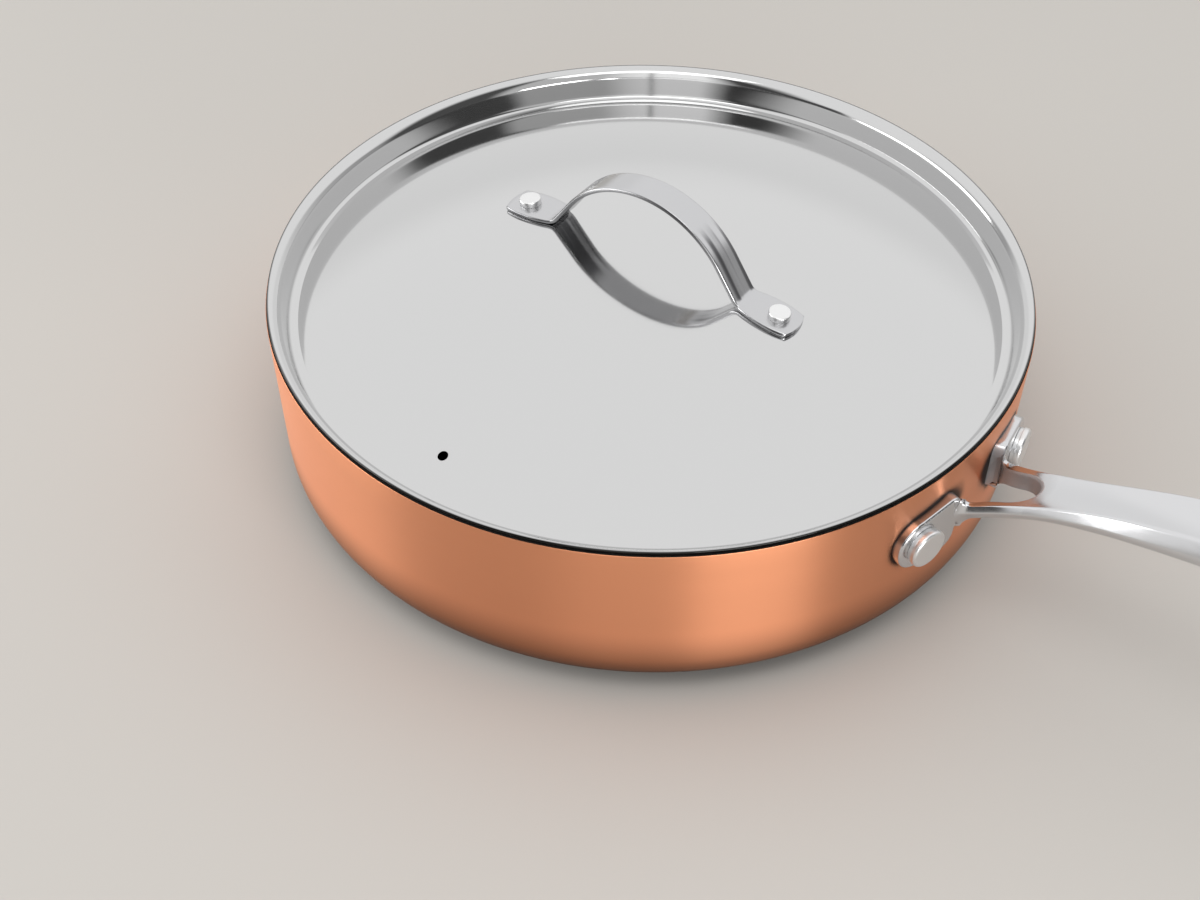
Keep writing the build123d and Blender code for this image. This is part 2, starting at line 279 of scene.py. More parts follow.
def rounded_line(corners, radii, step):
    """Line through corners with an arc at each inner one. An arc starts its tangent length before
    the corner, and its points divide the turn evenly, about a step apart."""
    corners = [np.array(corner, float) for corner in corners]
    runs = [corners[0][None]]
    for before, here, after, radius in zip(corners, corners[1:], corners[2:], radii):
        back = (before - here) / np.linalg.norm(before - here)
        ahead = (after - here) / np.linalg.norm(after - here)
        opening = math.acos(float(np.clip(back @ ahead, -1.0, 1.0)))
        turn = math.pi - opening
        inward = (back + ahead) / np.linalg.norm(back + ahead)
        middle = here + inward * radius / math.sin(opening / 2)
        spoke = here + back * radius / math.tan(opening / 2) - middle
        side = 1.0 if back[0] * ahead[1] - back[1] * ahead[0] < 0 else -1.0
        count = max(6, int(radius * turn / step))
        runs.append(middle + swung(spoke, side * np.linspace(0.0, turn, count)))
    runs.append(corners[-1][None])
    return np.concatenate(runs)


def divided(line, gap):
    """The same line with straight stretches cut so that no step is longer than a gap."""
    pieces = []
    for start, end in zip(line[:-1], line[1:]):
        count = max(1, int(math.ceil(np.linalg.norm(end - start) / gap)))
        shares = np.arange(count)[:, None] / count
        pieces.append(start + (end - start) * shares)
    pieces.append(line[-1:])
    return np.concatenate(pieces)


def turned(profile, steps):
    """Profile of (radius, height) turned about the vertical axis: x = r cos a, y = r sin a."""
    angle = np.linspace(0.0, 2.0 * math.pi, steps + 1)
    angle[-1] = 0.0
    radius, height = profile[:, 0][:, None], profile[:, 1][:, None]
    ones = np.ones(steps + 1)[None, :]
    return np.stack((radius * np.cos(angle), radius * np.sin(angle), height * ones), axis=-1)


def wall_radius(height, inset):
    """Radius of the wall's face that lies an inset inside the copper's outer face."""
    drawn_in = (pan_height - height) * math.tan(wall_taper)
    return pan_rim_radius - drawn_in - inset / math.cos(wall_taper)


def bowl_line(inset):
    """Profile of the bowl's face at an inset: floor, corner arc and flared wall up to the rim."""
    floor_end = (wall_radius(inset, inset), inset)
    rim_end = (wall_radius(pan_height, inset), pan_height)
    return rounded_line(((0.0, inset), floor_end, rim_end), (corner_radius - inset,), step=0.8)


def ply_profile(outer, inner, outer_round, inner_round):
    """Closed half profile of one ply: out along its outer face, over the rim, back along the inner."""
    outside, inside = bowl_line(outer), bowl_line(inner)
    rim_corners = (outside[-2], outside[-1], inside[-1], inside[-2])
    rim = rounded_line(rim_corners, (outer_round, inner_round), step=0.05)
    return divided(np.concatenate((outside[:-2], rim, inside[:-2][::-1])), 9.0)


def noise_node(tree, place, scale, detail):
    """Value of a noise over places."""
    node = tree.nodes.new("ShaderNodeTexNoise")
    return feed(tree, node, {"Vector": place, "Scale": scale, "Detail": detail}).outputs["Fac"]


def open_finish(name, lines_kind):
    """New node group for a metal's finish, and the outputs of its input node.

    Place is a point of the piece, Lines the lines per metre, Roughness the mean roughness and
    Spread its swing. The group puts out a Roughness and a Height for a bump.
    """
    group = bpy.data.node_groups.new(name, "ShaderNodeTree")
    kinds = {"Place": "Vector", "Lines": lines_kind, "Roughness": "Float", "Spread": "Float"}
    for socket, kind in kinds.items():
        group.interface.new_socket(socket, in_out="INPUT", socket_type="NodeSocket" + kind)
    for socket in ("Roughness", "Height"):
        group.interface.new_socket(socket, in_out="OUTPUT", socket_type="NodeSocketFloat")
    return group, group.nodes.new("NodeGroupInput").outputs


def close_finish(group, given, line_place, line_detail, cloud_scale):
    """Noise over the stretched place gives the lines, and noise over the place itself slow clouds.

    Roughness is the mean plus the spread times lines plus clouds minus 1. Height is the lines.
    """
    lines = noise_node(group, line_place, 1.0, line_detail)
    clouds = noise_node(group, given["Place"], cloud_scale, 2.0)
    centred = math_node(group, "SUBTRACT", math_node(group, "ADD", lines, clouds), 1.0)
    rough = math_node(group, "MULTIPLY_ADD", centred, given["Spread"], given["Roughness"])
    feed(group, group.nodes.new("NodeGroupOutput"), {"Roughness": rough, "Height": lines})
    return group


def reach_node(tree, place):
    """Distance of a place from the vertical axis: the length that is left with its height at 0."""
    return vector_node(tree, "LENGTH", vector_node(tree, "MULTIPLY", place, (1.0, 1.0, 0.0)))


def spun_group():
    """Node group for the fine rings that spinning and polishing leave on a turned piece.

    The distance from the axis and the height are multiplied by the lines per metre and the angle
    about the axis by a small number, so that noise over them gives long thin rings.
    """
    group, given = open_finish("spun_grain", "Float")
    parts = split_node(group, given["Place"])
    angle = math_node(group, "ARCTAN2", parts["Y"], parts["X"])
    ring_place = feed(group, group.nodes.new("ShaderNodeCombineXYZ"), {
        "X": math_node(group, "MULTIPLY", reach_node(group, given["Place"]), given["Lines"]),
        "Y": math_node(group, "MULTIPLY", parts["Z"], given["Lines"]),
        "Z": math_node(group, "MULTIPLY", angle, 2.0),
    })
    return close_finish(group, given, ring_place.outputs[0], 3.0, 22.0)


def add_finish(material, shader, group, lines, spread, depth):
    """Puts a finish between Object coordinates and the shader's roughness and bump. The mean
    roughness is the shader's own constant."""
    tree = material.node_tree
    finish = tree.nodes.new("ShaderNodeGroup")
    finish.node_tree = group
    feed(tree, finish, {
        "Place": tree.nodes.new("ShaderNodeTexCoord").outputs["Object"],
        "Lines": lines,
        "Roughness": shader.inputs["Roughness"].default_value,
        "Spread": spread,
    })
    bump = tree.nodes.new("ShaderNodeBump")
    feed(tree, bump, {"Strength": 1.0, "Distance": depth, "Height": finish.outputs["Height"]})
    feed(tree, shader, {"Roughness": finish.outputs["Roughness"], "Normal": bump.outputs["Normal"]})
    return finish


def add_painted_shade(material, shader, colour, share, low, high):
    """Base colour with painted shade: it falls to a share of itself from one height down to
    another, in metres, for the shade and the shadowed floor that the copper mirrors near its foot.

    In tight corners, round the pads and under the lid's edge, painted shade takes it nearly
    black: there it follows how much of the surroundings is open within 10 mm.
    """
    tree = material.node_tree
    place = tree.nodes.new("ShaderNodeTexCoord").outputs["Object"]
    rise_share = ranged(tree, split_node(tree, place)["Z"], low, high)
    low_colour = (*(part * share for part in colour), 1.0)
    tone = mixed(tree, rise_share, low_colour, (*colour, 1.0))
    # Painted shade: ambient occlusion turns the colour nearly black in tight corners.
    corner = tree.nodes.new("ShaderNodeAmbientOcclusion")
    corner.samples = 12
    corner.inputs["Distance"].default_value = 0.010
    open_share = ranged(tree, corner.outputs["AO"], 0.68, 0.87)
    shaded = mixed(tree, open_share, (0.02, 0.006, 0.003, 1.0), tone)
    feed(tree, shader, {"Base Color": shaded})


spun_grain = spun_group()
copper_colour = (0.84, 0.355, 0.19)
copper, copper_shader = new_material("satin_copper", copper_colour, 0.36)
add_finish(copper, copper_shader, spun_grain, 900.0, 0.05, 0.000002)
copper_shader.inputs["Anisotropic"].default_value = 0.93
copper_shader.inputs["Anisotropic Rotation"].default_value = 0.25
around = copper.node_tree.nodes.new("ShaderNodeTangent")
around.direction_type = "RADIAL"
around.axis = "Z"
feed(copper.node_tree, copper_shader, {"Tangent": around.outputs["Tangent"]})
# Painted shade on the copper: darker towards the floor, nearly black round the pads and under the
# lid's edge.
add_painted_shade(copper, copper_shader, copper_colour, 0.15, 0.004, 0.033)
# The core's nearly black colour is painted shade: its top at the rim, under the lid's edge, reads as a
# dark gap.
core_metal, core_shader = new_material("painted_shade_aluminium", (0.12, 0.12, 0.12), 0.4)
add_finish(core_metal, core_shader, spun_grain, 2500.0, 0.1, 0.000004)
lining_metal, lining_shader = new_material("brushed_lining", (0.66, 0.65, 0.64), 0.32)
add_finish(lining_metal, lining_shader, spun_grain, 1800.0, 0.1, 0.000006)

copper_profile = ply_profile(0.0, copper_thickness, 0.25, 0.02)
core_profile = ply_profile(copper_thickness, core_inset, 0.02, 0.02)
lining_profile = ply_profile(core_inset, lining_inset, 0.02, 0.25)
for name, profile, steps, metal, node, slot in (
    ("copper_wall", copper_profile, 320, copper, "copper_skin", "copper"),
    ("core_wall", core_profile, 192, core_metal, "aluminium_core", "core"),
    ("lining_wall", lining_profile, 320, lining_metal, "steel_lining", "lining"),
):
    piece = weld_grids(name, [turned(profile, steps)], metal)
    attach(piece, "pan")
    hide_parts(node)


# Long handle: one stainless casting, polished all over. Two pads lie on the wall, an arm rises
# from each, the arms meet in a fork, and the stem has a hollow top, rolled sides and an eye.
rivet_height = 47.2
rivet_half_angle = math.radians(12.45)
handle_start = wall_radius(rivet_height, 0.0)
root_height = 52.8
rise = math.radians(24.2)
straight_length = 46.3
straight_end = handle_start + straight_length * math.cos(rise)
bend_radius = 262.0
bend_turn = math.radians(34.0)
path_length = straight_length + bend_radius * bend_turn
tip_x = straight_end + bend_radius * (math.sin(rise) - math.sin(rise - bend_turn))
handle_width = 27.4
handle_thickness = 13.2
hollow = 0.7
roll = 1.3
tip_radius = handle_width / 2 + roll
tuck = 2.6
foot_level = 0.92
side_lean = 1.4
lean_length = 38.0
square_start = 170.0
square_length = 40.0
arm_start = 138.6
least_arm = 1.6
slot_half_width = 7.2
slot_half_limit = 13.2
slot_gain = 5.7
gain_start = 143.3
gain_fade = 6.4
slot_end_start = 156.0
slot_root = 164.2
slot_edge = 0.9
eye_radius = 4.5
eye_setback = 12.5
eye_x = tip_x - eye_setback
pad_thickness = 3.4
pad_half_height = 10.5
pad_top_reach = 18.2
pad_low_reach = 15.8
pad_top_rise = 2.9
pad_corners = (4.5, 6.0)
pad_edge = 1.0
pad_flare = 3.0
seat_gap = 0.03

# Share of the path, then the width between the ridges and the depth as shares of the stem's own
stem_sizes = np.array((
    (0.0, 1.13, 0.65), (0.029, 1.004, 0.62), (0.056, 0.912, 0.606), (0.083, 0.832, 0.606),
    (0.12, 0.763, 0.606), (0.165, 0.708, 0.615), (0.24, 0.693, 0.727), (0.33, 0.765, 0.833),
    (0.42, 0.829, 0.931), (0.51, 0.88, 0.968), (0.6, 0.919, 0.987), (0.69, 0.953, 0.996),
    (0.78, 0.98, 1.0), (0.86, 0.994, 0.985), (0.93, 1.0, 0.93), (1.0, 1.0, 0.84),
))


def smooth_curve(places, values, wanted):
    """Natural cubic through given values: the second slopes solve the usual three-term system."""
    gaps = np.diff(places)
    count = len(places)
    system, bends = np.eye(count), np.zeros(count)
    slopes = np.diff(values) / gaps
    for i in range(1, count - 1):
        system[i, i - 1:i + 2] = gaps[i - 1], 2 * (gaps[i - 1] + gaps[i]), gaps[i]
        bends[i] = 6 * (slopes[i] - slopes[i - 1])
    second = np.linalg.solve(system, bends)
    k = np.clip(np.searchsorted(places, wanted) - 1, 0, count - 2)
    a, b, h = places[k + 1] - wanted, wanted - places[k], gaps[k]
    return (
        (second[k] * a ** 3 + second[k + 1] * b ** 3) / (6 * h)
        + (values[k] / h - second[k] * h / 6) * a
        + (values[k + 1] / h - second[k + 1] * h / 6) * b
    )


def top_line(x):
    """Height and slope angle of the handle's ridges at a distance x from the pan's axis."""
    sine = math.sin(rise) - np.maximum(x - straight_end, 0.0) / bend_radius
    angle = np.arcsin(sine)
    run = np.minimum(x, straight_end) - handle_start
    height = root_height + run * math.tan(rise) + bend_radius * (np.cos(angle) - math.cos(rise))
    return height, angle


def along(x):
    """Share of the whole path that lies before x."""
    angle = top_line(x)[1]
    straight = (np.minimum(x, straight_end) - handle_start) / math.cos(rise)
    return (straight + (rise - angle) * bend_radius * (x > straight_end)) / path_length


def opening_half_width(x):
    """Half width of the fork's slot or of the eye at x, and nothing between them.

    Towards the pads the slot widens by a gain times e to the minus distance over a fade, and its
    other end is a half ellipse. The eye is a circle.
    """
    slot = slot_half_width + slot_gain * np.exp(-(x - gain_start) / gain_fade)
    past = np.maximum(x - slot_end_start, 0) / (slot_root - slot_end_start)
    slot_end = np.sqrt(np.clip(1 - past ** 2, 0, 1))
    slot = np.minimum(slot, slot_half_limit) * slot_end * (x < slot_root)
    eye = np.sqrt(np.clip(eye_radius ** 2 - (x - eye_x) ** 2, 0, None))
    return np.maximum(slot, eye)


def outline_distance(x, y):
    """Distance in plan from the nearest of many points on the slot's and the eye's outline."""
    turn = np.linspace(0.0, math.pi, 240)
    dense_from = slot_end_start + 2.0
    dense = slot_root - (slot_root - dense_from) * (1 - np.sin(turn[:120])) ** 2
    slot_x = np.concatenate((np.linspace(arm_start - 0.6, dense_from, 160), dense))
    line_x = np.concatenate((slot_x, eye_x - eye_radius * np.cos(turn)))
    line_y = opening_half_width(line_x)
    nearest = np.full(x.shape, 1e9)
    for spot_x, spot_y in zip(line_x, line_y):
        nearest = np.minimum(nearest, (x - spot_x) ** 2 + (y - spot_y) ** 2)
    return np.sqrt(nearest)


def edge_fall(distance, radius):
    """How far a rounded edge has dropped at a distance from it: r - sqrt(r^2 - (r - d)^2)."""
    inside = np.clip(radius - distance, 0.0, radius)
    return radius - np.sqrt(np.clip(radius ** 2 - inside ** 2, 0.0, None))


def eased(low, high, count, ends):
    """Numbers from low to high, closer together at both ends or at the far end only."""
    share = np.linspace(0.0, 1.0, count)
    if ends == "both":
        return low + (high - low) * (1 - np.cos(math.pi * share)) / 2
    return low + (high - low) * np.sin(math.pi * share / 2)


def bent(start, corner, end, count):
    """Curve from start to end that is pulled towards a corner: the usual three-point blend."""
    t = np.linspace(0.0, 1.0, count)[None, :, None]
    return (1 - t) ** 2 * start[:, None] + 2 * t * (1 - t) * corner[:, None] + t ** 2 * end[:, None]


def seat_axes(side):
    """Spot on the wall at a pan rivet, with the directions away from the handle, up and outward."""
    angle = rivet_half_angle * side
    spot = np.array((handle_start * math.cos(angle), handle_start * math.sin(angle), rivet_height))
    lean = math.cos(wall_taper)
    outward = np.array((lean * math.cos(angle), lean * math.sin(angle), -math.sin(wall_taper)))
    away = np.array((-math.sin(angle), math.cos(angle), 0.0)) * side
    upward = np.cross(outward, away) * side
    return spot, away, upward, outward


seat_spot, seat_away, seat_up, seat_out = seat_axes(1)
wall_points, top_points, side_points, under_points = 9, 26, 14, 22


def handle_grid():
    """Right half of the casting without its pads, as stations along x by points round the section.

    Each section runs up the inner wall of the slot, out over the hollow top, round the ridge, down
    the rolled side and in along the underside. The slot's and the eye's edges fall away as rounds.
    """
    eye_near, eye_far = eye_x - eye_radius, eye_x + eye_radius
    x = np.concatenate((
        np.linspace(arm_start, slot_end_start, 48)[:-1],
        eased(slot_end_start, slot_root, 34, "far")[:-1],
        slot_root + np.linspace(0.0, 1.0, 14) ** 1.6 * 2.0,
        np.linspace(slot_root + 3.0, eye_near - 3.0, 96),
        eye_near - 2.4 * np.linspace(1.0, 0.0, 9)[:-1] ** 1.5,
        eased(eye_near, eye_far, 33, "both"),
        eye_far + 1.6 * np.linspace(0.0, 1.0, 8)[1:] ** 1.5,
        eased(eye_far + 1.9, tip_x, 26, "far"),
    ))
    shares, widths, depths = stem_sizes.T
    share = along(x)
    settled = np.clip((x - slot_root) / lean_length, 0.0, 1.0)
    lean = side_lean * settled ** 2 * (3 - 2 * settled)
    ridge = smooth_curve(shares, widths, share) * handle_width / 2 - lean
    depth = smooth_curve(shares, depths, share) * handle_thickness
    height, angle = top_line(x)
    past = np.clip((x - (tip_x - tip_radius)) / tip_radius, 0.0, 1.0)
    round_plan = np.sqrt(1 - past ** 2).clip(0.03)
    round_side = np.sqrt(1 - past ** 7).clip(0.4)
    inner = np.minimum(opening_half_width(x), ridge - least_arm)
    side_out = (roll + lean) * round_plan
    ridge = ridge * round_plan
    drop = -depth * round_side
    sink = -0.5 * depth * (1 - round_side)

    # Top: from the opening out to the ridge, hollow between the two ridges
    t = np.linspace(0.0, 1.0, top_points) ** 1.7
    ridge_in = ridge - np.minimum(0.9, 0.3 * ridge)
    y_top = inner[:, None] + (ridge_in - inner)[:, None] * t[None, :]
    h_top = -hollow * (1 - (y_top / np.maximum(ridge, 0.5)[:, None]) ** 2)
    top = np.stack((y_top, h_top), axis=-1)

    # Side: a nearly flat upper part that leans out, then a curve tangent to it down to the foot
    ridge_y = np.maximum(ridge, 0.01)
    ridge_point = np.stack((ridge_y, np.zeros(len(x))), axis=-1)
    lean_end = 0.3 + 0.12 * settled
    bow_point = np.stack((ridge_y + 0.5 * side_out, 0.5 * lean_end * drop), axis=-1)
    lean_point = np.stack((ridge_y + 0.92 * side_out, lean_end * drop), axis=-1)
    turn_point = lean_point + (lean_point - bow_point)
    foot_y = np.maximum(ridge + (lean - tuck) * round_plan, 0.005)
    foot_point = np.stack((foot_y, foot_level * drop), axis=-1)
    upper_side = bent(ridge_point, bow_point, lean_point, side_points)
    lower_side = bent(lean_point, turn_point, foot_point, side_points)
    side = np.concatenate((upper_side, lower_side[:, 1:]), axis=1)

    # Underside: bowed down towards the middle, and joined to the side by a round at the foot
    under_share = np.linspace(0.88, 0.0, under_points)
    y_under = inner[:, None] + (foot_y - inner)[:, None].clip(0.0) * under_share[None, :]
    foot_rise = (foot_level * drop - drop)[:, None]
    h_under = drop[:, None] + foot_rise * (y_under / foot_y[:, None]) ** 2
    under = np.stack((y_under, h_under), axis=-1)
    ridge_round = bent(top[:, -1], ridge_point, side[:, 2], 7)
    foot_round = bent(side[:, -5], foot_point, under[:, 0], 8)
    section = np.concatenate(
        (top[:, :-1], ridge_round, side[:, 3:-5], foot_round, under[:, 1:]), axis=1
    )
    y = section[..., 0]
    h = section[..., 1] + sink[:, None]

    # Rounds at the openings' edges, and the inner wall between them
    grid_x = np.repeat(x[:, None], section.shape[1], axis=1)
    fall = edge_fall(outline_distance(grid_x, y), slot_edge)
    h[:, :top_points] -= fall[:, :top_points]
    h[:, -under_points:] += fall[:, -under_points:]
    wall_share = np.linspace(1.0, 0.0, wall_points)[None, :]
    wall_y = np.repeat(inner[:, None], wall_points, axis=1)
    wall_h = h[:, :1] + (h[:, -1:] - h[:, :1]) * wall_share
    y = np.concatenate((wall_y, y[:, 1:]), axis=1)
    h = np.concatenate((wall_h, h[:, 1:]), axis=1)
    grid_x = np.repeat(x[:, None], y.shape[1], axis=1)

    # Sections stand upright in the arms and turn square to the line further out
    tilt = np.clip((x - square_start) / square_length, 0.0, 1.0)
    tilt = (tilt ** 2 * (3 - 2 * tilt))[:, None]
    cosine, sine = np.cos(angle)[:, None], np.sin(angle)[:, None]
    z = height[:, None] + h * ((1 - tilt) / cosine + tilt * cosine)
    grid_x = grid_x - h * sine * tilt

    # Near the pads the arms flare into them, and their inner walls run out flush with the pads' ends
    points = np.stack((grid_x, y, z), axis=-1)
    reach = np.clip((points - seat_spot) @ seat_out - pad_thickness, 0.0, pad_flare)
    flare = edge_fall(reach, pad_flare)
    low, high = z.min(axis=1, keepdims=True), z.max(axis=1, keepdims=True)
    z = z + flare * (2 * (z - low) / (high - low) - 1)
    width = np.maximum(y.max(axis=1, keepdims=True) - inner[:, None], 0.1)
    near_pads = (x < slot_end_start - 6.0)[:, None]
    y = y + 0.5 * flare * (y - inner[:, None]) / width * near_pads
    return np.stack((grid_x, y, z), axis=-1), inner


def pad_grid():
    """One pad: its outline is carried from the wall to a rounded edge and drawn in over a flat face.

    The back of each outline point is sunk by t squared over twice the wall's radius, so that it
    meets the round wall.
    """
    arm_corners = (
        (0.0, pad_half_height), (-pad_top_reach, pad_half_height + pad_top_rise),
        (-pad_low_reach, -pad_half_height), (0.0, -pad_half_height),
    )
    arm_side = rounded_line(arm_corners, pad_corners, step=0.35)
    swing = np.linspace(-math.pi / 2, math.pi / 2, 60)[1:]
    free_end = pad_half_height * np.stack((np.cos(swing), np.sin(swing)), axis=-1)
    outline = divided(np.concatenate((arm_side, free_end)), 1.2)
    centre = np.array((-4.0, 0.3))
    tangent = np.roll(outline[:-1], -1, axis=0) - np.roll(outline[:-1], 1, axis=0)
    normal = np.stack((tangent[:, 1], -tangent[:, 0]), axis=-1)
    normal /= np.linalg.norm(normal, axis=1, keepdims=True)
    normal = np.concatenate((normal, normal[:1]))
    normal *= np.sign((normal * (centre - outline)).sum(1))[:, None]
    back = seat_gap - outline[:, 0] ** 2 / (2 * handle_start)
    level = 0 * back
    edge_foot = pad_thickness - pad_edge
    face_line = outline + normal * pad_edge
    rows = [(centre + 0 * outline, level), (outline, back), (outline, (back + edge_foot) / 2)]
    for turn in np.linspace(0.0, math.pi / 2, 8):
        shrink = pad_edge * (1 - math.cos(turn))
        rows.append((outline + normal * shrink, level + edge_foot + pad_edge * math.sin(turn)))
    for share in (0.3, 0.65, 1.0):
        rows.append((face_line + (centre - face_line) * share, level + pad_thickness))
    flat = np.stack([row[0] for row in rows])
    out = np.stack([row[1] for row in rows])[..., None]
    return seat_spot + flat[..., :1] * seat_away + flat[..., 1:] * seat_up + out * seat_out


def brushed_group():
    """Node group for the fine straight scratches of a belt or a buff.

    The place is stretched by three factors, small along the scratches, before noise over it gives
    the lines.
    """
    group, given = open_finish("brushed_lines", "Vector")
    stretched = vector_node(group, "MULTIPLY", given["Place"], given["Lines"])
    return close_finish(group, given, stretched, 4.0, 70.0)


def add_gap_painted_shade(material, shader, finish, spot, polished, gap_shade):
    """Faces that look into the fork's gap get painted shade, a darker and less metallic colour,
    and a duller, grainier finish.

    The mask is the normal times the level direction from the face to a spot in the gap, and it
    ends 16 to 19 mm from that spot.
    """
    tree = material.node_tree
    place = tree.nodes.new("ShaderNodeTexCoord").outputs["Object"]
    normal = tree.nodes.new("ShaderNodeNewGeometry").outputs["Normal"]
    to_spot = vector_node(tree, "SUBTRACT", spot, place)
    level = vector_node(tree, "MULTIPLY", to_spot, (1.0, 1.0, 0.0))
    near = ranged(tree, vector_node(tree, "LENGTH", level), 0.019, 0.016, smooth=False)
    way = vector_node(tree, "NORMALIZE", level)
    inner = ranged(tree, vector_node(tree, "DOT_PRODUCT", way, normal), 0.3, 0.8)
    mask = math_node(tree, "MULTIPLY", inner, near)
    shine = shader.inputs["Roughness"].default_value
    feed(tree, finish, {"Roughness": ranged(tree, mask, 0.0, 1.0, shine, 0.55, smooth=False)})
    feed(tree, shader, {
        "Base Color": mixed(tree, mask, (*polished, 1.0), (*gap_shade, 1.0)),
        "Metallic": ranged(tree, mask, 0.0, 1.0, 1.0, 0.25, smooth=False),
    })


brushed_lines = brushed_group()
steel_colour = (0.63, 0.63, 0.64)
steel, steel_shader = new_material("polished_casting", steel_colour, 0.13)
steel_finish = add_finish(
    steel, steel_shader, brushed_lines, (120.0, 1500.0, 1500.0), 0.08, 0.0000008
)
# Painted shade on the faces inside the fork's gap.
add_gap_painted_shade(steel, steel_shader, steel_finish, (0.150, 0.0, 0.0), steel_colour, (0.34, 0.34, 0.35))

arm_grid, inner_width = handle_grid()
open_edges = np.flatnonzero(np.diff((inner_width > 0.0).astype(int)))
wall_runs = ((0, open_edges[0] + 2), (open_edges[1], open_edges[2] + 2))
grids = []
for mirror in (1.0, -1.0):
    half_grid = arm_grid * np.array((1.0, mirror, 1.0))
    grids.append(half_grid[:, wall_points - 1:])
    for first, last in wall_runs:
        grids.append(half_grid[first:last, :wall_points])
    arm_end, tip_end = half_grid[:1], half_grid[-1:]
    grids.append(np.concatenate((arm_end, arm_end.mean(axis=1, keepdims=True) + 0 * arm_end)))
    tip_middle = tip_end.mean(axis=1, keepdims=True) * np.array((1.0, 0.0, 1.0)) + 0 * tip_end
    grids.append(np.concatenate((tip_end, tip_middle)))
    grids.append(pad_grid() * np.array((1.0, mirror, 1.0)))
handle_piece = weld_grids("handle_casting", grids, steel, sharp=50.0)
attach(handle_piece, "pan")
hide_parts("long_handle")


# Pan rivets: solid stainless rivets through pads and wall, each with a collar and a thick flat
# head outside and a low formed head inside.
pan_head_radius = 7.4
pan_head_height = 2.3
collar_radius = 7.0
collar_height = 1.5
pan_shank_radius = 3.5
pan_tail_radius = 6.5
pan_tail_height = 2.0
rivet_steps = 96


def turned_about(profile, spot, away, upward, outward):
    """Profile of (radius, height) turned about an axis through a spot, the height along outward."""
    flat = turned(profile, rivet_steps)
    return spot + flat[..., :1] * away + flat[..., 1:2] * upward + flat[..., 2:] * outward


rivet_metal, rivet_shader = new_material("satin_rivet", (0.78, 0.78, 0.78), 0.33)
add_finish(rivet_metal, rivet_shader, brushed_lines, (500.0, 500.0, 500.0), 0.12, 0.0000006)
lining_face = wall_radius(rivet_height, lining_inset)
tail_sink = lining_face - math.sqrt(lining_face ** 2 - pan_tail_radius ** 2)
tail_seat = -lining_inset - seat_gap - tail_sink
collar_foot = pad_thickness + seat_gap
head_foot = collar_foot + collar_height
head_top = head_foot + pan_head_height
pan_rivet_line = rounded_line(
    (
        (0.0, head_top), (pan_head_radius, head_top), (pan_head_radius, head_foot),
        (collar_radius, head_foot), (collar_radius, collar_foot), (pan_shank_radius, collar_foot),
        (pan_shank_radius, tail_seat), (pan_tail_radius, tail_seat),
        (pan_tail_radius, tail_seat - pan_tail_height), (0.0, tail_seat - pan_tail_height),
    ),
    (1.1, 0.15, 0.1, 0.15, 0.05, 0.05, 0.15, 0.9),
    step=0.12,
)
for side, word in ((1, "left"), (-1, "right")):
    head = turned_about(divided(pan_rivet_line, 1.5), *seat_axes(side))
    rivet = weld_grids("pan_rivet_head_" + word, [head], rivet_metal)
    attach(rivet, "pan")
    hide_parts("pan_rivet_" + word)


# Lid: one disc of stainless sheet, pressed into a flange that lies on the rim, a steep wall, a
# narrow gutter and a low dome, and mirror polished. A small round vent is pierced near its edge.
lid_rise = 1.75
lid_plane = pan_height + lid_rise
lid_setback = 0.7
lid_radius = pan_rim_radius - lid_setback
lid_thickness = 0.7
lip_bulge = 0.18
flange_bend_radius = 136.24
flange_fall = 0.66
wall_foot_radius = 133.3
gutter_depth = 11.6
dome_foot_radius = 130.0
bend_rounds = (5.6, 2.0, 1.5)
dome_radius = 500.0
dome_rise = 9.45
dome_peak = lid_plane + dome_rise
shoulder_radius = 60.0
lid_turn = math.radians(2.2)
lid_steps = 320
vent_angle = math.radians(-90.0)
vent_distance = 114.8
vent_radius = 1.85
block_reach = 6.0
block_rows, block_columns = 12, 6


def dome_height(radius):
    """Height of the dome's flat middle at a distance from the axis: a sphere of half a metre."""
    return dome_peak - dome_radius + np.sqrt(dome_radius ** 2 - np.asarray(radius, float) ** 2)


def lid_line():
    """Upper face of the lid from its edge to the middle of the dome.

    The flange falls slightly inwards and turns through a wide arc into a steep wall. A narrow flat
    gutter lies at the wall's foot. The dome is a flat arc inside its shoulder and a tighter arc from
    there, tangent to the first, down to the gutter.
    """
    edge = (lid_radius, lid_plane)
    bend = (flange_bend_radius, lid_plane - flange_fall)
    wall_foot = (wall_foot_radius, lid_plane - gutter_depth)
    dome_foot = np.array((dome_foot_radius, lid_plane - gutter_depth))
    shoulder = np.array((shoulder_radius, float(dome_height(shoulder_radius))))
    lean = math.asin(shoulder_radius / dome_radius)
    down = np.array((-math.sin(lean), -math.cos(lean)))
    span = dome_foot - shoulder
    arc_radius = (span @ span) / (2 * (span @ down))
    middle = shoulder + down * arc_radius
    first = math.atan2(*(dome_foot - middle)[::-1])
    last = math.atan2(*(shoulder - middle)[::-1])
    swing = np.linspace(first, last, 60)
    arc = middle + arc_radius * np.stack((np.cos(swing), np.sin(swing)), axis=-1)
    flat_radius = np.linspace(shoulder_radius, 0.0, 26)[1:]
    flat = np.stack((flat_radius, dome_height(flat_radius)), axis=-1)
    wall = rounded_line((edge, bend, wall_foot, dome_foot, arc[2]), bend_rounds, step=0.2)
    return np.concatenate((divided(wall, 1.2)[:-1], arc[2:], flat))


def face_height(line, radius):
    """Height of one face of the lid at a radius, read off its profile."""
    order = np.argsort(line[:, 0])
    return np.interp(radius, line[order, 0], line[order, 1])


